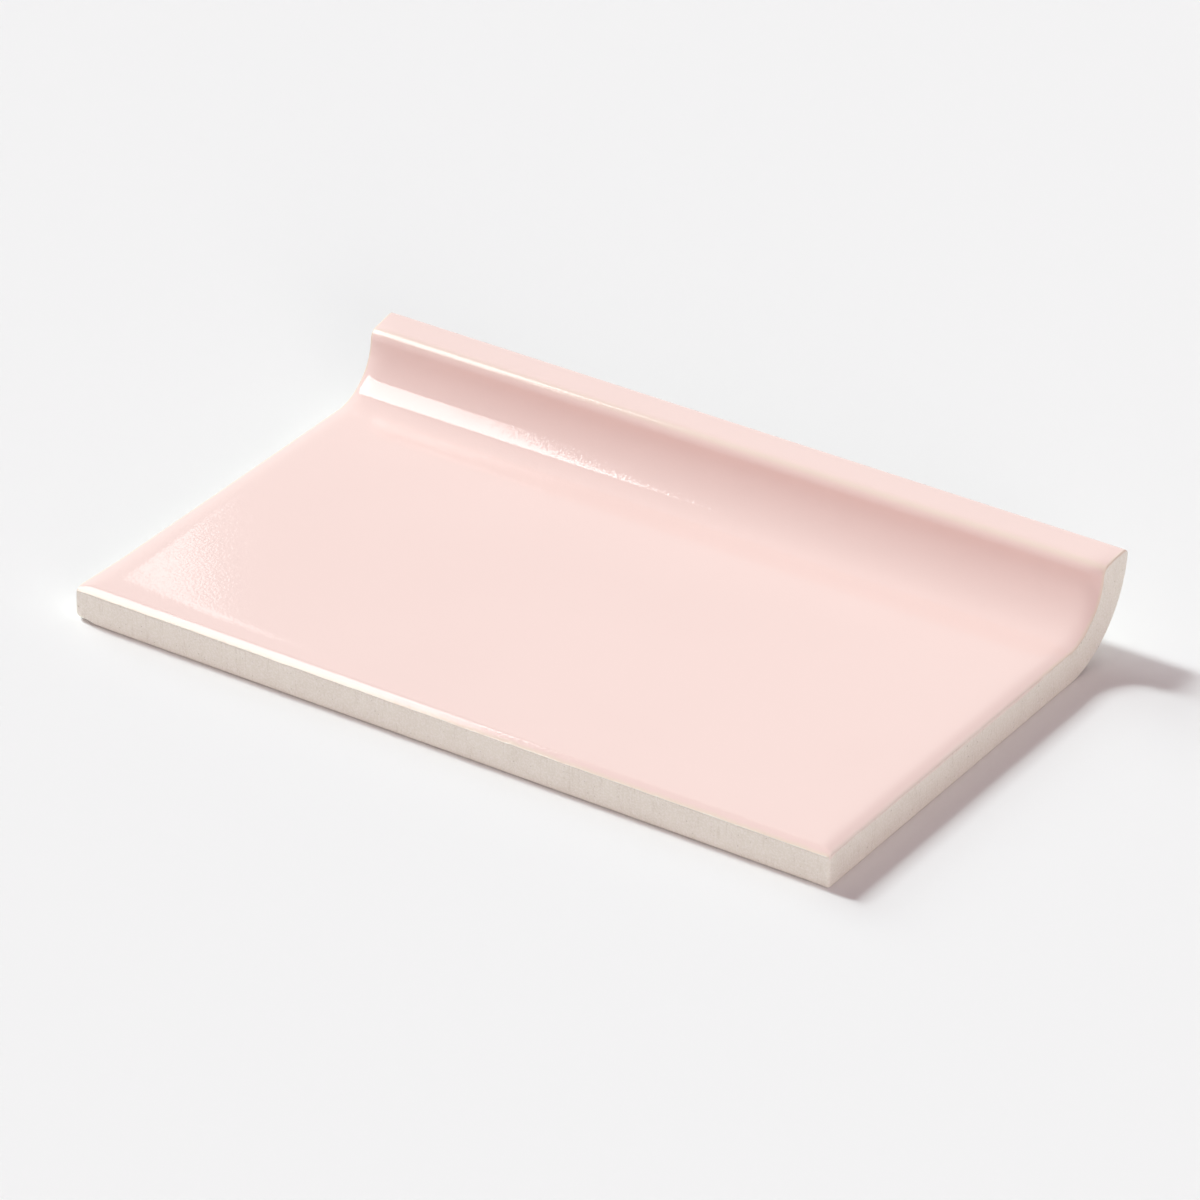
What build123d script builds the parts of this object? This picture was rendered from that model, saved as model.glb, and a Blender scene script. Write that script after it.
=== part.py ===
from build123d import *
import os

os.makedirs("parts", exist_ok=True)

# Cove base tile: the lowest row of a glazed wall. The flat body stands against the wall
# and the coved toe turns out at its foot to meet the floor. One pressed and fired piece.
# Millimetres. The tile lies on its back: X runs along the wall, Y from the straight top
# edge to the toe, Z from the back to the glazed face. The origin is under its middle.

# The piece as a whole
length = 152.4
depth = 95.25
body_thickness = 6.9

# The toe: how far its tip stands out from the back, and how thick it is there
toe_height = 18.2
toe_thickness = 8.85

# How much of the depth each curve takes: the glazed cove, and the round back of the toe
cove_run = 10.15
back_run = 18.4

# Rounds of the toe's tip: the glazed nose in front, the heel behind it
nose_radius = 2.4
heel_radius = 1.4

# Cushioned border of the glazed face: it falls a little over this width, then rolls over
cushion_width = 4.5
cushion_drop = 0.4
face_edge_radius = 1.0

# Upright corners of the straight edge, and the easing all round the back
corner_radius = 1.2
back_edge_radius = 0.4

# Keying grooves pressed into the flat back, where the mortar grips
groove_count = 5
groove_pitch = 12.5
groove_width = 6.0
groove_depth = 0.7
groove_draft = 20.0
groove_end_margin = 11.0

# A face counts as upright while its normal leans less than this out of the level
upright_lean = 0.01

front_y = -depth / 2
heel_y = depth / 2
nose_y = heel_y - toe_thickness
cove_start_y = nose_y - cove_run
back_curve_y = heel_y - back_run

with BuildPart() as cove_tile:
    # Section of the tile: body, cove, toe and the round back of the toe
    with BuildSketch(Plane.YZ) as section:
        with BuildLine():
            face_line = Line((front_y, body_thickness), (cove_start_y, body_thickness))
            TangentArc(face_line @ 1, (nose_y, toe_height), tangent=(1, 0))
            tip_line = Line((nose_y, toe_height), (heel_y, toe_height))
            back_line = Line((front_y, 0), (back_curve_y, 0))
            TangentArc(back_line @ 1, (heel_y, toe_height), tangent=(1, 0))
            Line(face_line @ 0, back_line @ 0)
        make_face()
        nose_corner = section.vertices().sort_by_distance((nose_y, toe_height))[0]
        fillet(nose_corner, nose_radius)
    extrude(amount=length / 2, both=True)

    # Cushioned border: down both ends, round the cove and nose, and along the straight edge
    left_end, right_end = cove_tile.faces().filter_by(Axis.X).sort_by(Axis.X)
    face_edges = cove_tile.faces().filter_by(lambda face: face.normal_at().Z > upright_lean).edges()
    left_edges = left_end.edges().filter_by(lambda edge: edge in face_edges)
    chamfer(left_edges, cushion_drop, cushion_width, reference=left_end)
    right_edges = right_end.edges().filter_by(lambda edge: edge in face_edges)
    chamfer(right_edges, cushion_drop, cushion_width, reference=right_end)
    front_face = cove_tile.faces().sort_by(Axis.Y)[0]
    front_edge = front_face.edges().sort_by(Axis.Z)[-1]
    chamfer(front_edge, cushion_drop, cushion_width, reference=front_face)

    # Rounded upright corners, then the glazed face's edges roll over into the sides
    upright_edges = cove_tile.edges().filter_by(Axis.Z).group_by(Axis.Y)[0]
    fillet(upright_edges, corner_radius)
    side_faces = cove_tile.faces().filter_by(lambda face: abs(face.normal_at().Z) < upright_lean)
    face_edges = cove_tile.faces().filter_by(lambda face: face.normal_at().Z > upright_lean).edges()
    rolled_edges = side_faces.edges().filter_by(lambda edge: edge in face_edges)
    fillet(rolled_edges, face_edge_radius)

    # Easing of the back: it starts on the heel and runs on round the whole back
    heel_edge = cove_tile.edges().filter_by(Axis.X).group_by(Axis.Z)[-1].sort_by(Axis.Y)[-1]
    fillet(heel_edge, back_edge_radius)

    # Fuller round along the heel
    with BuildSketch(Plane.YZ) as envelope:
        with Locations((0, toe_height / 2)):
            Rectangle(depth, toe_height)
        heel_corner = envelope.vertices().sort_by_distance((heel_y, toe_height))[0]
        fillet(heel_corner, heel_radius)
    extrude(amount=length / 2, both=True, mode=Mode.INTERSECT)

    # Keying grooves, side by side along the length, closed at both ends
    with BuildSketch(Plane.XY):
        with Locations((0, (front_y + back_curve_y) / 2)):
            with GridLocations(0, groove_pitch, 1, groove_count):
                SlotOverall(length - 2 * groove_end_margin, groove_width)
    extrude(amount=groove_depth, taper=groove_draft, mode=Mode.SUBTRACT)

cove_tile.part.label = "cove_tile"
export_step(cove_tile.part, "parts/cove_tile.step")
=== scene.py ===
import math

import bpy
import numpy as np
from mathutils import Matrix, Vector


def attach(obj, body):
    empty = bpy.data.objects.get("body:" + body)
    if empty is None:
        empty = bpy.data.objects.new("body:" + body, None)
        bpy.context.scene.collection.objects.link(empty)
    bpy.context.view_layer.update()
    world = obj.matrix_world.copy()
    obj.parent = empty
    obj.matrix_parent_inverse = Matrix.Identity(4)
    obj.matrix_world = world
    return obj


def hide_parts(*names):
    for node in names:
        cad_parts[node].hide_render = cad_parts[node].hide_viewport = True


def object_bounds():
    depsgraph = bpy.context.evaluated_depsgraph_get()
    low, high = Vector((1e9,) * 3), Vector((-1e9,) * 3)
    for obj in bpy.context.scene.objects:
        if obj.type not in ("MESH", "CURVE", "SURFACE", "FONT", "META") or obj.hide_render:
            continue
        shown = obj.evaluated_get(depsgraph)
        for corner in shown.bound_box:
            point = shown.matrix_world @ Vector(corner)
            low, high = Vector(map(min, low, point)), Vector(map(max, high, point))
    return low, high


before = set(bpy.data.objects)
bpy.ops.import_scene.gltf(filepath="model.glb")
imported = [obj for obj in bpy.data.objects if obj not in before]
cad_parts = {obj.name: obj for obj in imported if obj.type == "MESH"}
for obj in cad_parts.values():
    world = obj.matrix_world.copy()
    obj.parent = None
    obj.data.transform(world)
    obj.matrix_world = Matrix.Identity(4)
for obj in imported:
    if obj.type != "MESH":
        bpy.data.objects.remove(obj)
cad_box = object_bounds()

# Millimetres here, turned into metres where a mesh is made. The axes are the tile's own:
# X along the wall, Y from the straight edge to the toe, Z from the back to the glaze.
MM = 0.001

# Sizes of the tile, the same as in the construction model
LENGTH = 152.4
DEPTH = 95.25
BODY = 6.9
TOE_HEIGHT = 18.2
TOE_THICKNESS = 8.85
COVE_RUN = 10.15
BACK_RUN = 18.4
NOSE = 2.4
HEEL = 1.4

# Upright corners and the edge of the back, crisper here than in the construction model,
# and the front left corner of the back, worn rounder: this many times more, this far
CORNER = 0.6
EASING = 0.21
WORN_MORE = 6.4
WORN_REACH = 2.4

# Along the straight edge the easing reaches further in under the tile, this many times.
# It starts to where the end is this much further off than the edge, and has grown to all
# of it over the second distance.
FRONT_UNDERCUT = 7.5
UNDERCUT_STARTS = 0.6
UNDERCUT_GROWTH = 3.0

# Keying grooves in the back
GROOVE_COUNT = 5
GROOVE_PITCH = 12.5
GROOVE_HALF_WIDTH = 3.0
GROOVE_DEPTH = 0.7
GROOVE_WALL = 0.26
GROOVE_END = 11.0

# Edges of the pressed face. All have a slow cushion: (width, drop). The ends then have a
# roll: (radius, reach in from the edge), and the straight edge a bevel: (slope, width,
# length of its soft start).
FRONT_CUSHION = (6.5, 0.22)
FRONT_BEVEL = (0.62, 1.35, 0.25)
END_CUSHION = (6.0, 0.16)
LEFT_ROLL = (22.0, 4.0)
RIGHT_ROLL = (9.0, 3.1)

# At the corners the two borders blend: the higher this power, the sharper the mitre
BORDER_BLEND = 3

# How deep the ends' border is, next to its depth on the body: at the straight edge, near
# the end of the cove, at its end, at the end of the nose, a little onto the toe's top, at
# the end of the top and at the end of the heel
BORDER_STRENGTH = (1, 1, 0.85, 0.6, 0.25, 0.08, 0.0)
ROWS_BEFORE_COVE_END = 8
ROWS_ONTO_TOP = 3

# The face stops at a small round arris, less sharp where the glaze fades out. It takes
# points in from this many times its size, and a little more.
ARRIS_ROUND = 0.07
FADED_ARRIS_ROUND = 0.10
ARRIS_REACH = 4
ARRIS_MORE = 0.02

# The arris as steps of (how far out, how far down), in shares of its size
ARRIS_STEPS = ((0.7, 0.7), (1.0, 1.9))

# The top of the left end leans in by this much, over this width of the face, and less at
# the straight edge: it has grown from this share to all of it at the given distance.
# It weakens with the ends' border, at most to this share, and then dies out from where
# that border is weaker than the last value.
LEFT_LEAN = 0.88
LEAN_WIDTH = 8.0
LEAN_AT_FRONT = 0.45
LEAN_GROWN = 12.0
LEAN_KEPT = 0.4
LEAN_DIES_OUT = 0.25

# Slope of the nose where the glaze is thinnest, and how far round that goes, in degrees
CREST = 32.0
CREST_WIDTH = 17.0

# On the right end the glaze's edge is a fade on the body. It is none from FADE_STOPS on,
# after a change over this length. On the heel the glaze stops this far down the round.
FADE_STOPS = 24.0
FADE_LENGTH = 10.0
GLAZE_ON_HEEL = 1.3

# How far from the glaze's edge the bare back counts as being
BARE = 6.0

# Unevenness of the glaze: waves of (length, direction in radians, phase), their height,
# and the distance from an edge over which they die out
GLAZE_WAVES = (
    (37, 0.3, 0.4), (23, 1.4, 2.1), (17, 2.3, 4.0),
    (11, 0.9, 5.2), (8.3, 2.9, 1.3), (6.1, 1.9, 3.3),
)
WAVE_HEIGHT = 0.005
CALM_BORDER = 3.0

# Rows and columns near an edge. The glazed side has runs of (start, end, steps), and the
# back has the easing's own and then one at each of these distances.
EDGE_RUNS = ((0, 0.6, 8), (0.6, 2.0, 12), (2.0, 3.2, 6), (3.2, 7.2, 10), (7.2, 10, 3))
EASING_POINTS = 7
WORN_STEPS = (0.4, 0.55, 0.75, 1.0, 1.6, 4.0, 7.0)

# Rows over a keying groove: on its floor at these distances from its middle, then close
# together at the two edges of its wall, and a pair of rows halfway to the next groove.
# Its end has a run of columns, counted from its tip. One more row of the back comes
# shortly before its round part.
GROOVE_FLOOR_ROWS = (0, 1.0, 1.8, 2.3)
GROOVE_WALL_ROWS = 0.06
BETWEEN_GROOVES = 1.2
GROOVE_END_RUN = (-4.4, 0.2, 13)
BEFORE_ROUND_BACK = 1.5

# Steps along the rest: the first part of the cove, up to this angle, the rest of it, the
# nose, the toe's top, the heel, the middle of the back and the sides
FOOT_TURN = 0.1
FOOT_STEPS = 4
COVE_STEPS = 34
NOSE_STEPS = 16
TOP_STEPS = 7
HEEL_STEPS = 12
MIDDLE_STEPS = 36
SIDE_STEPS = 12

# Rows and columns of the back are rounded to the first number of decimals of a
# millimetre, and points that agree to the second are one. No length is divided by less
# than the last value.
LINE_DECIMALS = 6
WELD_DECIMALS = 5
TINY = 1e-9

END = LENGTH / 2
FRONT = -DEPTH / 2
HEEL_LINE = DEPTH / 2
COVE_START = HEEL_LINE - TOE_THICKNESS - COVE_RUN
BACK_START = HEEL_LINE - BACK_RUN


# Shape of the tile


def stations(*spans):
    """Joined runs of evenly spaced values: each span is (start, end, steps), and a run's
    last value is the next one's first."""
    parts = [np.linspace(a, b, n, endpoint=False) for a, b, n in spans]
    return np.concatenate(parts + [[spans[-1][1]]])


def arc_drop(across, radius):
    """How far a circle's arc that starts level has fallen after this much across."""
    return radius - np.sqrt(np.clip(radius**2 - np.clip(across, 0, None) ** 2, 0, None))


def cushion_drop(inset, cushion):
    """How far the glazed face has fallen at this distance from an edge: a parabola."""
    width, fall = cushion
    return fall * np.clip(1 - inset / width, 0, None) ** 2


def bevel_drop(inset, bevel):
    """Further fall over a bevelled edge: a branch of a hyperbola, level far from the edge
    and an even slope near it."""
    slope, width, soft = bevel
    across = width - inset
    return slope / 2 * (across + np.sqrt(across**2 + soft**2))


def cove_radius():
    """Radius of the arc that leaves the flat face level and ends at the toe's top."""
    rise = TOE_HEIGHT - BODY
    return (rise**2 + COVE_RUN**2) / (2 * rise)


def back_radius():
    """Radius of the arc that leaves the flat back level and ends at the toe's top."""
    return (TOE_HEIGHT**2 + BACK_RUN**2) / (2 * TOE_HEIGHT)


def nose_centre():
    """Centre of the nose: its circle touches the toe's top and the cove's arc from outside."""
    low = TOE_HEIGHT - NOSE
    radius = cove_radius()
    across = math.sqrt((radius + NOSE) ** 2 - (low - BODY - radius) ** 2)
    return COVE_START + across, low


def heel_centre():
    """Centre of the heel: its circle touches the toe's top and the back's arc from inside."""
    low = TOE_HEIGHT - HEEL
    radius = back_radius()
    across = math.sqrt((radius - HEEL) ** 2 - (low - radius) ** 2)
    return BACK_START + across, low


def glazed_section(flat_y):
    """Section of the glazed side, front edge to heel, as points and outward normals: the
    flat, the cove's arc, the nose's arc, the flat top and the heel's arc. The spans are
    the number of points in each."""
    radius = cove_radius()
    nose_y, nose_z = nose_centre()
    heel_y, heel_z = heel_centre()
    steepest = math.pi / 2 + math.atan2(nose_z - BODY - radius, nose_y - COVE_START)
    last = math.pi / 2 + math.atan2(back_radius() - heel_z, heel_y - BACK_START)
    cove = stations((0, FOOT_TURN, FOOT_STEPS), (FOOT_TURN, steepest, COVE_STEPS))[1:]
    nose = steepest - stations((0, steepest, NOSE_STEPS))[1:]
    top = stations((nose_y, heel_y, TOP_STEPS))[1:]
    heel = stations((0, last, HEEL_STEPS))[1:]
    slope = np.concatenate([0 * flat_y, cove, nose, 0 * top, -heel])
    normal = np.stack([-np.sin(slope), np.cos(slope)], axis=1)
    y = np.concatenate([
        flat_y,
        COVE_START + radius * np.sin(cove),
        nose_y - NOSE * np.sin(nose),
        top,
        heel_y + HEEL * np.sin(heel),
    ])
    z = np.concatenate([
        0 * flat_y + BODY,
        BODY + radius - radius * np.cos(cove),
        nose_z + NOSE * np.cos(nose),
        0 * top + TOE_HEIGHT,
        heel_z + HEEL * np.cos(heel),
    ])
    spans = [len(flat_y), len(cove), len(nose), len(top), len(heel)]
    return y, z, normal, spans


def back_section(flat_y, rows):
    """Section of the back, front edge to heel, as points and outward normals: the flat,
    then the arc up to where the heel's round begins."""
    radius = back_radius()
    heel_y, heel_z = heel_centre()
    last = math.pi / 2 - math.atan2(radius - heel_z, heel_y - BACK_START)
    turn = stations((0, last, rows))[1:]
    slope = np.concatenate([0 * flat_y, turn])
    normal = np.stack([np.sin(slope), -np.cos(slope)], axis=1)
    y = np.concatenate([flat_y, BACK_START + radius * np.sin(turn)])
    z = np.concatenate([0 * flat_y, radius - radius * np.cos(turn)])
    return y, z, normal


def round_corners(x, y):
    """Bends the square front corners of the plan round. Each square ring round the corner,
    at inset m, becomes an arc of radius R - m about the point R in from both sides."""
    a, b = END - np.abs(x), y - FRONT
    inner, outer = np.minimum(a, b), np.maximum(a, b)
    near = outer < CORNER
    share = np.where(near, (outer - inner) / np.maximum(CORNER - inner, TINY), 1)
    angle = math.pi / 4 * (1 - share)
    long_leg = CORNER - (CORNER - inner) * np.cos(angle)
    short_leg = CORNER - (CORNER - inner) * np.sin(angle)
    from_end = np.where(a <= b, long_leg, short_leg)
    from_front = np.where(a <= b, short_leg, long_leg)
    new_a = np.where(near, from_end, a)
    new_b = np.where(near, from_front, b)
    return np.sign(x) * (END - new_a), FRONT + new_b


def groove_floor(x, y):
    """Depth of the keying grooves at a point of the back: full inside each slot, falling
    to nothing over its sloping wall, by the distance to the slot's centre line."""
    half_run = END - GROOVE_END - GROOVE_HALF_WIDTH
    middle = (FRONT + BACK_START) / 2
    number = np.round((y - middle) / GROOVE_PITCH)
    reach = (GROOVE_COUNT - 1) / 2
    across = y - middle - GROOVE_PITCH * np.clip(number, -reach, reach)
    along = np.clip(np.abs(x) - half_run, 0, None)
    distance = np.hypot(along, across)
    return GROOVE_DEPTH * np.clip((GROOVE_HALF_WIDTH - distance) / GROOVE_WALL, 0, 1)


def groove_rows():
    """Places across the back where a keying groove needs a row of points: over its floor,
    close together at both edges of its wall, and two between it and the next."""
    middle = (FRONT + BACK_START) / 2
    edge, foot, close = GROOVE_HALF_WIDTH, GROOVE_HALF_WIDTH - GROOVE_WALL, GROOVE_WALL_ROWS
    wall = (foot - 2 * close, foot, foot + close, edge - close, edge, edge + 2 * close)
    half = np.array(GROOVE_FLOOR_ROWS + wall)
    offsets = np.unique(np.concatenate([-half, half]))
    centres = middle + GROOVE_PITCH * (np.arange(GROOVE_COUNT) - (GROOVE_COUNT - 1) / 2)
    between = centres[:-1] + GROOVE_PITCH / 2
    rows = (centres[:, None] + offsets[None, :]).ravel()
    return np.concatenate([rows, between - BETWEEN_GROOVES, between + BETWEEN_GROOVES])


def grid_lines():
    """Rows over the flat and columns along the length, for the glazed side and then for
    the back. Both sides have as many of each."""
    inset = stations(*EDGE_RUNS)
    easing = EASING * (1 - np.cos(np.linspace(0, math.pi / 2, EASING_POINTS)))
    rim = np.concatenate([easing, WORN_STEPS])

    flat_end = [BACK_START - BEFORE_ROUND_BACK, BACK_START]
    back_flat = np.concatenate([FRONT + rim, groove_rows(), flat_end])
    back_flat = np.unique(np.round(back_flat, LINE_DECIMALS))
    rest = len(back_flat) - len(inset)
    plain = np.linspace(FRONT + inset[-1], COVE_START, rest + 1)[1:]
    glazed_flat = np.concatenate([FRONT + inset, plain])

    groove_end = END - GROOVE_END + stations(GROOVE_END_RUN)
    back_half = np.concatenate([END - rim, groove_end])
    back_half = np.unique(np.round(back_half, LINE_DECIMALS))
    middle = stations((0, back_half[0], MIDDLE_STEPS))[:-1]
    back_half = np.concatenate([middle, back_half])
    rest = len(back_half) - len(inset)
    plain = np.linspace(0, END - inset[-1], rest + 1)[:-1]
    glazed_half = np.concatenate([plain, (END - inset)[::-1]])

    glazed_x = np.concatenate([-glazed_half[:0:-1], glazed_half])
    back_x = np.concatenate([-back_half[:0:-1], back_half])
    return glazed_flat, glazed_x, back_flat, back_x


def ripple(x, y, waves, height):
    """Depth of a shallow uneven surface, never below nothing: the mean of one plus a sine
    for several lengths and directions. Each wave is (length, direction, phase)."""
    total = 0 * x
    for length, direction, phase in waves:
        along = x * math.cos(direction) + y * math.sin(direction)
        total = total + 1 + np.sin(2 * math.pi * along / length + phase)
    return height * total / len(waves)


def border_drop(x, from_end, from_front, strength):
    """How far the glazed face has fallen in its border: the straight edge's fall and the
    ends' fall, blended by a power so that the deeper one rules."""
    front = cushion_drop(from_front, FRONT_CUSHION) + bevel_drop(from_front, FRONT_BEVEL)
    left, right = (arc_drop(reach - from_end, radius) for radius, reach in (LEFT_ROLL, RIGHT_ROLL))
    ends = (cushion_drop(from_end, END_CUSHION) + np.where(x < 0, left, right)) * strength
    return (front**BORDER_BLEND + ends**BORDER_BLEND) ** (1 / BORDER_BLEND)


def lean_in(x, from_front, strength):
    """How far a point near the left end leans in: most on the body, less at the straight
    edge and on the toe, and down to nothing at the heel's end."""
    lean = LEFT_LEAN * np.clip(1 - (x + END) / LEAN_WIDTH, 0, 1)
    grown = LEAN_AT_FRONT + (1 - LEAN_AT_FRONT) * np.clip(from_front / LEAN_GROWN, 0, 1)
    kept = LEAN_KEPT + (1 - LEAN_KEPT) * strength
    return lean * grown * kept * np.clip(strength / LEAN_DIES_OUT, 0, 1)


def glazed_side(x, flat_y):
    """Grid of the glazed side, lowered along its own normal near the edges. Gives its
    points, and for each its distance from the glaze's edge, how slowly the glaze ends, how
    thin it is, the size of the arris, and which way is out of the tile."""
    y, z, normal, spans = glazed_section(flat_y)
    rows = len(y)
    even = np.ones((rows, len(x)))
    run = np.concatenate([[0], np.cumsum(np.hypot(np.diff(y), np.diff(z)))])
    x = x[None, :] * even
    from_end, from_front = END - np.abs(x), run[:, None] * even
    ring = np.minimum(from_end, from_front)
    at_end = from_end <= from_front
    cove_last, nose_last, top_last, heel_last = (np.cumsum(spans) - 1)[1:]
    near_cove_end, onto_top = cove_last - ROWS_BEFORE_COVE_END, nose_last + ROWS_ONTO_TOP
    places = [0, near_cove_end, cove_last, nose_last, onto_top, top_last, heel_last]
    strength = np.interp(np.arange(rows), places, BORDER_STRENGTH)[:, None]

    # The border, the unevenness inside it, and the toe's plain rounded ends
    drop = border_drop(x, from_end, from_front, strength)
    calm = np.clip(ring / CALM_BORDER, 0, 1) ** 2
    drop = drop + ripple(x, from_front, GLAZE_WAVES, WAVE_HEIGHT) * calm * strength
    drop = drop + (1 - strength) * arc_drop(EASING - from_end, EASING)

    # The glaze ends in a fade on the right, and elsewhere at the arris. On the heel it
    # stops part of the way down the round.
    fade_share = np.clip((FADE_STOPS - y) / FADE_LENGTH, 0, 1)
    fade = np.where((x > 0) & at_end, fade_share[:, None], 0.0)
    arris = (ARRIS_ROUND + (FADED_ARRIS_ROUND - ARRIS_ROUND) * fade) * strength
    to_heel_edge = (run[top_last] + GLAZE_ON_HEEL - run)[:, None] * even
    edge = np.minimum(ring, np.clip(to_heel_edge, -BARE, BARE))

    # It is thin on the crest of the nose, where it drew back in the kiln
    lean_back = np.degrees(np.arctan2(-normal[:, 0], normal[:, 1]))
    on_nose = (np.arange(rows) >= cove_last) & (np.arange(rows) <= nose_last)
    crest = np.where(on_nose, np.exp(-(((lean_back - CREST) / CREST_WIDTH) ** 2)), 0)
    crest = crest[:, None] * even

    # The outer ring stands back by the arris, which the band of the sides then adds
    shrink = np.clip(1 - ring / (ARRIS_REACH * arris + ARRIS_MORE), 0, 1) * arris
    new_x = x - np.sign(x) * np.where(at_end, shrink, 0)
    new_x = new_x + lean_in(x, from_front, strength)
    new_y = y[:, None] - drop * normal[:, 0:1] + np.where(at_end, 0, shrink)
    new_z = z[:, None] - drop * normal[:, 1:2]
    points = np.stack([*round_corners(new_x, new_y), new_z], axis=2)
    outward = np.stack([np.where(at_end, np.sign(x), 0.0), np.where(at_end, 0.0, -1.0)], axis=2)
    return points, edge, fade, crest, arris, outward


def back_side(x, flat_y, rows):
    """Grid of the back: eased at its rim, further in along the straight edge, worn rounder
    at the left corner, and with the keying grooves."""
    y, z, normal = back_section(flat_y, rows - len(flat_y))
    even = np.ones((rows, len(x)))
    x, y, z = x[None, :] * even, y[:, None] * even, z[:, None] * even
    from_end, from_front = END - np.abs(x), y - FRONT
    to_corner = np.hypot(x + END, from_front)
    eased = EASING * (1 + WORN_MORE * np.exp(-((to_corner / WORN_REACH) ** 2)))
    undercut = np.clip((from_end - from_front - UNDERCUT_STARTS) / UNDERCUT_GROWTH, 0, 1)
    stretch = 1 + (FRONT_UNDERCUT - 1) * undercut
    lift = arc_drop(eased - np.minimum(from_end, from_front) / stretch, eased)
    groove = groove_floor(x, y)
    groove[len(flat_y):] = 0
    lift = lift + groove
    new_y = y - lift * normal[:, 0:1]
    new_z = z - lift * normal[:, 1:2]
    return np.stack([*round_corners(x, new_y), new_z], axis=2)


def outer_ring(grid):
    """A grid's values round the tile's three open sides: along the left end from the heel
    to the front, along the straight edge, and along the right end back to the heel."""
    return np.concatenate([grid[::-1, 0], grid[0, 1:-1], grid[:, -1]])


def side_band(glazed, back, arris, outward):
    """Rows that join the outer rings of the glazed side and the back: round the arris,
    then straight down. At the upright corners, out is away from the corner's centre."""
    upper, lower = outer_ring(glazed), outer_ring(back)
    arris = outer_ring(arris)[:, None]
    past_end = np.abs(upper[:, 0]) - (END - CORNER)
    past_front = FRONT + CORNER - upper[:, 1]
    at_corner = (past_end > 0) & (past_front > 0)
    radial = np.stack([np.sign(upper[:, 0]) * past_end, -past_front], axis=1)
    radial = radial / np.maximum(np.linalg.norm(radial, axis=1, keepdims=True), TINY)
    outward = np.where(at_corner[:, None], radial, outer_ring(outward))
    out = np.concatenate([outward, np.zeros((len(outward), 1))], axis=1) * arris
    reach = np.linalg.norm(lower - upper, axis=1, keepdims=True)
    down = (lower - upper) / np.maximum(reach, TINY)
    small = np.minimum(1.0, reach)
    band = [upper]
    for aside, below in ARRIS_STEPS:
        band.append(upper + aside * out + down * below * arris * small)
    start = band[-1]
    for share in stations((0, 1, SIDE_STEPS))[1:]:
        band.append(start + (lower - start) * share)
    band[-1] = lower
    return np.stack(band)


def cells(grid, start, flipped):
    """Quads of a grid whose points are numbered row by row from start on."""
    high, wide = grid.shape[:2]
    index = start + np.arange(high * wide).reshape(high, wide)
    quads = np.stack([index[:-1, :-1], index[:-1, 1:], index[1:, 1:], index[1:, :-1]], axis=2)
    quads = quads.reshape(-1, 4)
    return quads[:, ::-1] if flipped else quads


def join_grids(grids, flipped, values):
    """One closed mesh from grids: every cell is a quad, points that coincide become one,
    and a quad that has lost a corner that way becomes a triangle. Each named value, given
    on every grid, goes with its points."""
    points = np.concatenate([grid.reshape(-1, 3) for grid in grids])
    starts = np.cumsum([0] + [grid.size // 3 for grid in grids[:-1]])
    quads = np.concatenate([cells(*each) for each in zip(grids, starts, flipped)])
    welded = np.unique(np.round(points, WELD_DECIMALS), axis=0, return_index=True, return_inverse=True)
    first, same = welded[1], welded[2].ravel()
    quads = same[quads]
    corners = 1 + (np.diff(np.sort(quads, axis=1), axis=1) > 0).sum(axis=1)
    whole, cut = quads[corners == 4], quads[corners == 3]
    triangles = cut[cut != np.roll(cut, -1, axis=1)].reshape(-1, 3)
    low, high = (np.array(v) / MM for v in cad_box)
    kept = {}
    for name, parts in values.items():
        kept[name] = np.concatenate([part.ravel() for part in parts])[first]
    return np.clip(points[first], low, high), whole.tolist() + triangles.tolist(), kept


def tile_surface():
    """The whole tile as points, faces and named values of the points. Two grids have as
    many rows and columns, the glazed side and the back. They meet at the heel, and a band
    of rows joins them round the three open sides."""
    glazed_flat, glazed_x, back_flat, back_x = grid_lines()
    glazed, edge, fade, crest, arris, outward = glazed_side(glazed_x, glazed_flat)
    back = back_side(back_x, back_flat, len(glazed))
    back[-1] = glazed[-1]
    band = side_band(glazed, back, arris, outward)
    bare = np.full(back.shape[:2], -BARE)
    bare[-1] = edge[-1]
    fall = np.linalg.norm(band - band[0], axis=2)
    band_fade = np.broadcast_to(outer_ring(fade), fall.shape)
    values = {
        "glaze_edge": (edge, bare, -fall),
        "glaze_fade": (fade, np.zeros_like(bare), band_fade),
        "glaze_thin": (crest, np.zeros_like(bare), np.zeros_like(fall)),
    }
    return join_grids((glazed, back, band), (False, True, True), values)


def new_mesh(name, points, faces):
    """A mesh object with smooth faces, from points in metres."""
    mesh = bpy.data.meshes.new(name)
    mesh.from_pydata(points.tolist(), [], faces)
    mesh.polygons.foreach_set("use_smooth", np.ones(len(mesh.polygons), dtype=bool))
    mesh.update()
    thing = bpy.data.objects.new(name, mesh)
    bpy.context.scene.collection.objects.link(thing)
    return thing


# Nodes of the finishes


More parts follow.
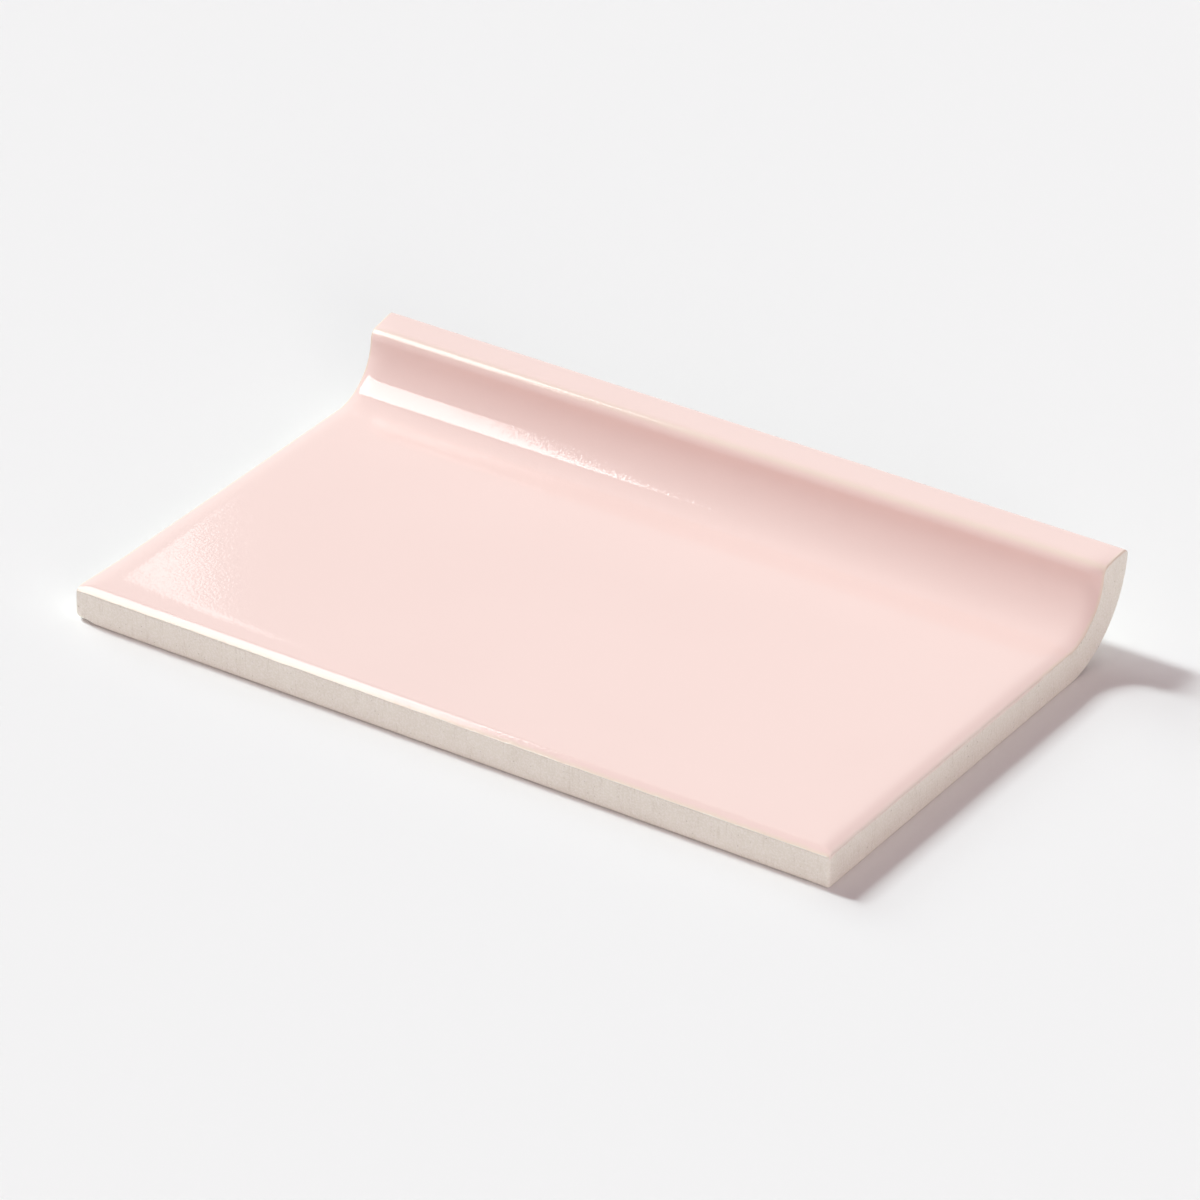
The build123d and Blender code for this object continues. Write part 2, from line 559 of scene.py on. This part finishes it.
class Nodes:
    """Short ways to add and join shader nodes in one tree."""

    def __init__(self, tree):
        self.tree = tree

    def add(self, kind, inputs=None, **settings):
        node = self.tree.nodes.new(kind)
        for key, value in settings.items():
            setattr(node, key, value)
        for key, value in (inputs or {}).items():
            self.feed(node.inputs[key], value)
        return node

    def feed(self, socket, value):
        if hasattr(value, "is_output"):
            self.tree.links.new(value, socket)
        else:
            socket.default_value = value

    def maths(self, operation, first, second):
        node = self.add("ShaderNodeMath", {0: first, 1: second}, operation=operation)
        return node.outputs[0]

    def times(self, first, second):
        return self.maths("MULTIPLY", first, second)

    def ramp(self, value, low, high, to_low=0.0, to_high=1.0):
        limits = {"From Min": low, "From Max": high, "To Min": to_low, "To Max": to_high}
        node = self.add("ShaderNodeMapRange", {"Value": value, **limits}, interpolation_type="SMOOTHSTEP")
        return node.outputs["Result"]

    def mix(self, share, first, second):
        node = self.add("ShaderNodeMix", {"Factor": share, "A": first, "B": second}, data_type="RGBA")
        return node.outputs["Result"]

    def noise(self, vector, scale, detail, rough=0.5):
        inputs = {"Vector": vector, "Scale": scale, "Detail": detail, "Roughness": rough}
        return self.add("ShaderNodeTexNoise", inputs, noise_dimensions="3D").outputs["Fac"]

    def group(self, tree, inputs):
        return self.add("ShaderNodeGroup", inputs, node_tree=tree)

    def point_value(self, name):
        node = self.add("ShaderNodeAttribute", attribute_name=name, attribute_type="GEOMETRY")
        return node.outputs["Fac"]


def group_tree(name, inputs, outputs):
    """A node group with named sockets: inputs are (name, kind, value), outputs (name, kind)."""
    tree = bpy.data.node_groups.new(name, "ShaderNodeTree")
    for label, kind, value in inputs:
        socket = tree.interface.new_socket(label, in_out="INPUT", socket_type=kind)
        if value is not None:
            socket.default_value = value
    for label, kind in outputs:
        tree.interface.new_socket(label, in_out="OUTPUT", socket_type=kind)
    return tree, Nodes(tree), tree.nodes.new("NodeGroupInput"), tree.nodes.new("NodeGroupOutput")


def rgb(red, green, blue):
    return (red, green, blue, 1.0)


# Colours of the bare clay, and of its grain, spots and pits, and of the painted bounce light along its
# bottom edge
CLAY = rgb(0.88, 0.84, 0.75)
CLAY_SHADE = rgb(0.80, 0.75, 0.66)
CLAY_GRAIN = rgb(0.97, 0.93, 0.88)
CLAY_SPOT = rgb(0.42, 0.35, 0.29)
CLAY_PIT = rgb(0.50, 0.44, 0.38)
CLAY_PAINTED_LIGHT = rgb(0.86, 0.80, 0.70)

# Colours of the glaze: two pinks that it drifts between, where it fades out, where it is
# thin on the crest and at its edge, and its few flecks
PINK = rgb(0.950, 0.732, 0.682)
PALER_PINK = rgb(0.960, 0.742, 0.692)
FADED_PINK = rgb(0.98, 0.80, 0.73)
CREST_TAN = rgb(0.93, 0.80, 0.66)
EDGE_TAN = rgb(0.93, 0.78, 0.66)
FLECK = rgb(0.72, 0.50, 0.38)

# Scattered marks: how many cells there are to the metre, the greatest radius of a mark as
# a share of its cell, and the share of the cells that have one
CLAY_SPOTS = {"Scale": 900.0, "Size": 0.28, "Amount": 0.10}
CLAY_PITS = {"Scale": 1500.0, "Size": 0.34, "Amount": 0.22}
FLECKS = {"Scale": 160.0, "Size": 0.045, "Amount": 0.035}

# Noises as (features to the metre, detail, roughness of the detail), and the values of
# each between which it comes in
MOTTLING = (260.0, 3.0)
MOTTLING_IN = (0.35, 0.7)
GRAIN = (2600.0, 3.0, 0.6)
GRAIN_IN = (0.42, 0.66)
PRESS_MARKS = (2300.0, 2.0, 0.6)
PRESS_MARKS_IN = (0.56, 0.70)
TONE = (28.0, 2.0)
TONE_IN = (0.3, 0.7)

# How strongly each shows in the clay's colour, and how much each adds to its relief
MOTTLING_SHOWS = 0.35
MARKS_SHOW = 0.80
SPOTS_SHOW = 0.75
PITS_SHOW = 0.65
GRAIN_SHOWS = 0.60
GRAIN_RISES = 0.6
MARKS_RISE = 0.5
PITS_SINK = 0.8

# Press marks run up the sides: their noise changes this slowly with the height. The bottom edge of the
# clay has painted bounce light, paler from the first height in metres down and wholly so from the second.
UPRIGHT = (1.0, 1.0, 0.10)
PAINTED_LIGHT_FROM = 0.0009
PAINTED_LIGHT_WHOLLY = 0.0002
PAINTED_LIGHT_SHOWS = 0.5

# The glaze's edge wanders by this noise and this width. Across it, in millimetres from
# the arris, the glaze comes in between the first pair, and where it fades out between the
# second. Its tan edge turns pink over the third.
WANDER = (190.0, 3.0, 0.6)
WANDER_WIDTH = 0.9
SHARP_EDGE = (-0.14, 0.06)
FADED_EDGE = (-1.1, 0.7)
TAN_EDGE = (0.0, 0.8)

# Where the glaze fades out it turns pale, from the second of these distances outwards and
# fully at the first. Then how strongly that shows, and the crest's tan and the flecks.
PALE_ACROSS = (-0.2, 1.2)
PALE_SHOWS = 0.7
CREST_SHOWS = 0.55
FLECKS_SHOW = 0.35

# Orange peel of the glaze: two plain noises, each (features to the metre, height)
COARSE_PEEL = (1900.0, 0.42)
FINE_PEEL = (3300.0, 0.20)

CLAY_ROUGHNESS = 0.88
GLAZE_ROUGHNESS = 0.022
GLAZE_IOR = 1.5

# The unit of the relief in metres, and the height of the clay's relief in it
RELIEF_UNIT = 0.00001
CLAY_RELIEF = 6.0


def speckle_group():
    """Fine specks: a mask of scattered round spots, one at most in a cell, of random size,
    in the given share of the cells."""
    tree, n, given, taken = group_tree(
        "specks",
        [("Vector", "NodeSocketVector", None), ("Scale", "NodeSocketFloat", 1000.0),
         ("Size", "NodeSocketFloat", 0.25), ("Amount", "NodeSocketFloat", 0.1)],
        [("Mask", "NodeSocketFloat")],
    )
    places = {"Vector": given.outputs["Vector"], "Scale": given.outputs["Scale"]}
    cell = n.add("ShaderNodeTexVoronoi", places)
    chance = n.add("ShaderNodeSeparateColor", {"Color": cell.outputs["Color"]})
    size = n.times(given.outputs["Size"], chance.outputs["Green"])
    spot = n.ramp(cell.outputs["Distance"], n.times(size, 0.5), size, 1.0, 0.0)
    chosen = n.maths("LESS_THAN", chance.outputs["Red"], given.outputs["Amount"])
    n.feed(taken.inputs["Mask"], n.times(spot, chosen))
    return tree


def bisque_group(specks):
    """Fired clay: a warm grey with soft mottling, fine grain, upright press marks, pits
    and a few dark spots. It gives a colour and a height."""
    tree, n, given, taken = group_tree(
        "fired clay",
        [("Vector", "NodeSocketVector", None), ("Clay", "NodeSocketColor", CLAY),
         ("Shade", "NodeSocketColor", CLAY_SHADE)],
        [("Color", "NodeSocketColor"), ("Height", "NodeSocketFloat")],
    )
    place, shade = given.outputs["Vector"], given.outputs["Shade"]
    mottled = n.ramp(n.noise(place, *MOTTLING), *MOTTLING_IN)
    grain = n.noise(place, *GRAIN)
    upright = n.add("ShaderNodeVectorMath", {0: place, 1: UPRIGHT}, operation="MULTIPLY")
    marks = n.noise(upright.outputs[0], *PRESS_MARKS)
    spots = n.group(specks, {"Vector": place, **CLAY_SPOTS}).outputs["Mask"]
    pits = n.group(specks, {"Vector": place, **CLAY_PITS}).outputs["Mask"]
    colour = n.mix(n.times(mottled, MOTTLING_SHOWS), given.outputs["Clay"], shade)
    colour = n.mix(n.times(n.ramp(marks, *PRESS_MARKS_IN), MARKS_SHOW), colour, shade)
    colour = n.mix(n.times(spots, SPOTS_SHOW), colour, CLAY_SPOT)
    colour = n.mix(n.times(pits, PITS_SHOW), colour, CLAY_PIT)
    colour = n.mix(n.ramp(grain, *GRAIN_IN, 0.0, GRAIN_SHOWS), colour, CLAY_GRAIN)
    height = n.maths("ADD", n.times(grain, GRAIN_RISES), n.times(marks, MARKS_RISE))
    height = n.maths("SUBTRACT", height, n.times(pits, PITS_SINK))
    n.feed(taken.inputs["Color"], colour)
    n.feed(taken.inputs["Height"], height)
    return tree


def glaze_limit(n, place, edge, fade):
    """Where the glaze stops: the distance from its edge, on a line that wanders a little,
    and a mask of what it covers, which ends in a fade where fade is one."""
    wander = n.maths("SUBTRACT", n.noise(place, *WANDER), 0.5)
    line = n.maths("ADD", edge, n.times(wander, WANDER_WIDTH))
    starts, ends = (n.ramp(fade, 0.0, 1.0, *limits) for limits in zip(SHARP_EDGE, FADED_EDGE))
    return line, n.ramp(line, starts, ends)


def glaze_colour(n, specks, place, line, fade, crest):
    """Pink that drifts a little in tone, paler in the fade, tan on the crest of the nose
    and at the glaze's thin edge, with a few flecks."""
    pink = n.mix(n.ramp(n.noise(place, *TONE), *TONE_IN), PINK, PALER_PINK)
    faded = n.times(n.ramp(line, *PALE_ACROSS, PALE_SHOWS, 0.0), fade)
    pink = n.mix(faded, pink, FADED_PINK)
    pink = n.mix(n.times(crest, CREST_SHOWS), pink, CREST_TAN)
    thick = n.maths("MAXIMUM", n.ramp(line, *TAN_EDGE), fade)
    flecks = n.group(specks, {"Vector": place, **FLECKS}).outputs["Mask"]
    return n.mix(n.times(flecks, FLECKS_SHOW), n.mix(thick, EDGE_TAN, pink), FLECK)


def clay_colour(n, place, clay):
    """Colour of the bare clay, with painted bounce light that makes its bottom edge paler."""
    height_up = n.add("ShaderNodeSeparateXYZ", {"Vector": place}).outputs["Z"]
    # Painted bounce light: the clay is painted paler towards its bottom edge, as if lit from the floor.
    bottom_light = n.ramp(height_up, PAINTED_LIGHT_WHOLLY, PAINTED_LIGHT_FROM, 1.0, 0.0)
    return n.mix(n.times(bottom_light, PAINTED_LIGHT_SHOWS), clay, CLAY_PAINTED_LIGHT)


def surface_relief(n, place, covered, clay_height):
    """Normal of the surface: fine orange peel in the glaze, grain in the clay."""
    coarse, fine = (
        n.times(n.noise(place, scale, 0.0), height) for scale, height in (COARSE_PEEL, FINE_PEEL)
    )
    peel = n.maths("ADD", coarse, fine)
    grain = n.times(clay_height, CLAY_RELIEF)
    height = n.add("ShaderNodeMix", {"Factor": covered, "A": grain, "B": peel}, data_type="FLOAT")
    inputs = {"Strength": 1.0, "Distance": RELIEF_UNIT, "Height": height.outputs["Result"]}
    return n.add("ShaderNodeBump", inputs).outputs["Normal"]


def glazed_clay(specks, fired_clay):
    """The tile's finish: pink gloss glaze over the face, thin and tan at its edge, and
    bare fired clay on the sides and back."""
    material = bpy.data.materials.new("glazed_clay")
    material.use_nodes = True
    n = Nodes(material.node_tree)
    shader = material.node_tree.nodes["Principled BSDF"]
    place = n.add("ShaderNodeTexCoord").outputs["Object"]
    edge, fade, crest = (n.point_value(name) for name in ("glaze_edge", "glaze_fade", "glaze_thin"))
    line, covered = glaze_limit(n, place, edge, fade)
    bare = n.group(fired_clay, {"Vector": place})
    glaze = glaze_colour(n, specks, place, line, fade, crest)
    clay = clay_colour(n, place, bare.outputs["Color"])
    n.feed(shader.inputs["Base Color"], n.mix(covered, clay, glaze))
    n.feed(shader.inputs["Roughness"], n.ramp(covered, 0.0, 1.0, CLAY_ROUGHNESS, GLAZE_ROUGHNESS))
    n.feed(shader.inputs["Normal"], surface_relief(n, place, covered, bare.outputs["Height"]))
    shader.inputs["IOR"].default_value = GLAZE_IOR
    return material


# The tile

specks = speckle_group()
points, faces, values = tile_surface()
tile = new_mesh("glazed_tile", points * MM, faces)
for name, amounts in values.items():
    mark = tile.data.attributes.new(name, "FLOAT", "POINT")
    mark.data.foreach_set("value", amounts.astype(np.float32))
tile.data.materials.append(glazed_clay(specks, bisque_group(specks)))
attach(tile, "root")
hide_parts("cove_tile")

# Floor, light and camera

# The floor and the surround as they are seen, and the surround's light on everything
PALE = rgb(0.896, 0.896, 0.896)
SURROUND_LIGHT = rgb(0.378, 0.305, 0.310)

# How far out the floor reaches and how far it is below the tile, in metres
FLOOR_REACH = 40.0
FLOOR_BELOW = 0.00002

# Lamps: direction, share of a level floor's light, width in degrees and tint. The key
# light from the left is spread over several, so the shadow is crisp close by and softens.
KEY_TINT = (0.89, 1.0, 1.0)
FILL_TINT = (1.0, 0.9, 0.9)
SUNS = {
    "key_near": ((-0.86, 0.17, 1.0), 0.13, 6.0, KEY_TINT),
    "key_middle": ((-0.97, 0.15, 1.0), 0.19, 7.0, KEY_TINT),
    "key_far": ((-1.22, 0.15, 1.0), 0.19, 9.0, KEY_TINT),
    "key_low": ((-1.90, 0.70, 1.0), 0.14, 30.0, KEY_TINT),
    "fill": ((3.30, -3.00, 1.0), 0.050, 24.0, FILL_TINT),
}

# The large panel on the left: its direction, its up, how far it reaches to the left, and
# how bright it is. Its right side bulges, so it is made of strips, from the lowest up, as
# (where the strip begins, where it ends, how far it reaches to the right), in degrees.
PANEL_MIDDLE = (-0.6602, -0.2541, 0.7066)
PANEL_UP = (0.02, 0.934, 0.356)
PANEL_LEFT = -11.3
PANEL_BRIGHTNESS = 7.2
PANEL_STRIPS = (
    (-14.0, -10.0, 11.2), (-10.0, -6.0, 11.7), (-6.0, 2.0, 12.0),
    (2.0, 8.0, 12.0), (8.0, 13.0, 11.8), (13.0, 17.6, 11.5),
)

# The small panel at the back, mirrored near the left corner
BACK_PANEL_MIDDLE = (-0.5500, 0.6710, 0.4970)
BACK_PANEL_UP = (0.0, 0.0, 1.0)
BACK_PANEL_ACROSS = (-1.72, -1.1)
BACK_PANEL_ALONG = (-0.52, 2.65)
BACK_PANEL_BRIGHTNESS = 1.75

PANEL_DISTANCE = 60.0

# The photograph's view: where the camera stands, in metres, and its axes in the tile's
CAMERA_PLACE = (0.561796, -0.851534, 0.604170)
CAMERA_RIGHT = (0.83281379, 0.55352007, 0.00606018)
CAMERA_UP = (-0.28444025, 0.41851915, 0.86251694)
CAMERA_BACK = (0.47488414, -0.72003976, 0.50599191)

# Its lens and sensor in millimetres, and the nearest and furthest it sees, in metres
FOCAL_LENGTH = 207.594
SENSOR = 36.0
SEEN = (0.05, 200.0)


def studio_floor():
    """A wide pale floor just under the tile."""
    plan = np.array([(-1, -1, 0), (1, -1, 0), (1, 1, 0), (-1, 1, 0)])
    corners = plan * FLOOR_REACH - np.array([0, 0, FLOOR_BELOW])
    floor = new_mesh("floor", corners, [(0, 1, 2, 3)])
    material = bpy.data.materials.new("pale_floor")
    material.use_nodes = True
    shader = material.node_tree.nodes["Principled BSDF"]
    shader.inputs["Base Color"].default_value = PALE
    shader.inputs["Roughness"].default_value = 1.0
    shader.inputs["Specular IOR Level"].default_value = 0.0
    floor.data.materials.append(material)


def studio_world():
    """A pale surround: plain white where it is seen, mirrored or looked through, and a
    dimmer, slightly warm light on everything."""
    world = bpy.data.worlds.new("surround")
    world.use_nodes = True
    bpy.context.scene.world = world
    n = Nodes(world.node_tree)
    background = world.node_tree.nodes["Background"]
    path = n.add("ShaderNodeLightPath")
    seen = n.maths("MAXIMUM", path.outputs["Is Camera Ray"], path.outputs["Is Glossy Ray"])
    seen = n.maths("MAXIMUM", seen, path.outputs["Is Transmission Ray"])
    n.feed(background.inputs["Color"], n.mix(seen, SURROUND_LIGHT, PALE))
    background.inputs["Strength"].default_value = 1.0


def lamp_turn(direction, up=(0.0, 0.0, 1.0)):
    """Rotation of a lamp that shines back along direction, its own Y as near up as can be."""
    z = Vector(direction).normalized()
    x = Vector(up).cross(z).normalized()
    y = z.cross(x)
    return Matrix((x, y, z)).transposed().to_4x4()


def add_lamp(name, lamp, place):
    """Puts a lamp in the scene at a place given as a matrix."""
    thing = bpy.data.objects.new(name, lamp)
    thing.matrix_world = place
    bpy.context.scene.collection.objects.link(thing)
    return thing


def sun(name, direction, share, width, tint):
    """A far lamp that isn't mirrored. share is the part of a level floor's light that it
    gives, where 1 shows a white floor as white, and width is how wide it looks."""
    lamp = bpy.data.lights.new(name, "SUN")
    towards = Vector(direction).normalized()
    lamp.energy = share * math.pi / towards.z
    lamp.angle = math.radians(width)
    lamp.color = tint
    add_lamp(name, lamp, lamp_turn(towards)).visible_glossy = False


def mirrored_card(name, middle, up, across, along, brightness):
    """A bright panel that only shows as a reflection. It stands square to middle, as seen
    from the tile; across and along are where it begins and ends, in degrees from middle."""
    left, right = (PANEL_DISTANCE * math.tan(math.radians(angle)) for angle in across)
    low, high = (PANEL_DISTANCE * math.tan(math.radians(angle)) for angle in along)
    lamp = bpy.data.lights.new(name, "AREA")
    lamp.shape = "RECTANGLE"
    lamp.size = right - left
    lamp.size_y = high - low
    lamp.energy = brightness * math.pi * lamp.size * lamp.size_y
    centre = Vector(((left + right) / 2, (low + high) / 2, PANEL_DISTANCE))
    card = add_lamp(name, lamp, lamp_turn(middle, up) @ Matrix.Translation(centre))
    card.visible_diffuse = False
    card.visible_camera = False


def studio_camera():
    """The camera stands well back, to the front and right, and looks down."""
    lens = bpy.data.cameras.new("camera")
    lens.sensor_width = SENSOR
    lens.lens = FOCAL_LENGTH
    lens.clip_start, lens.clip_end = SEEN
    camera = bpy.data.objects.new("camera", lens)
    axes = (Vector(CAMERA_RIGHT), Vector(CAMERA_UP), Vector(CAMERA_BACK))
    camera.matrix_world = Matrix.Translation(CAMERA_PLACE) @ Matrix(axes).transposed().to_4x4()
    bpy.context.scene.collection.objects.link(camera)
    bpy.context.scene.camera = camera


studio_floor()
studio_world()
for name, (direction, share, width, tint) in SUNS.items():
    sun(name, direction, share, width, tint)
for number, (low, high, reach) in enumerate(PANEL_STRIPS):
    mirrored_card(
        f"panel_left_{number}", PANEL_MIDDLE, PANEL_UP,
        (PANEL_LEFT, reach), (low, high), PANEL_BRIGHTNESS,
    )
mirrored_card(
    "panel_back", BACK_PANEL_MIDDLE, BACK_PANEL_UP,
    BACK_PANEL_ACROSS, BACK_PANEL_ALONG, BACK_PANEL_BRIGHTNESS,
)
studio_camera()

bpy.context.scene.view_settings.view_transform = "Standard"
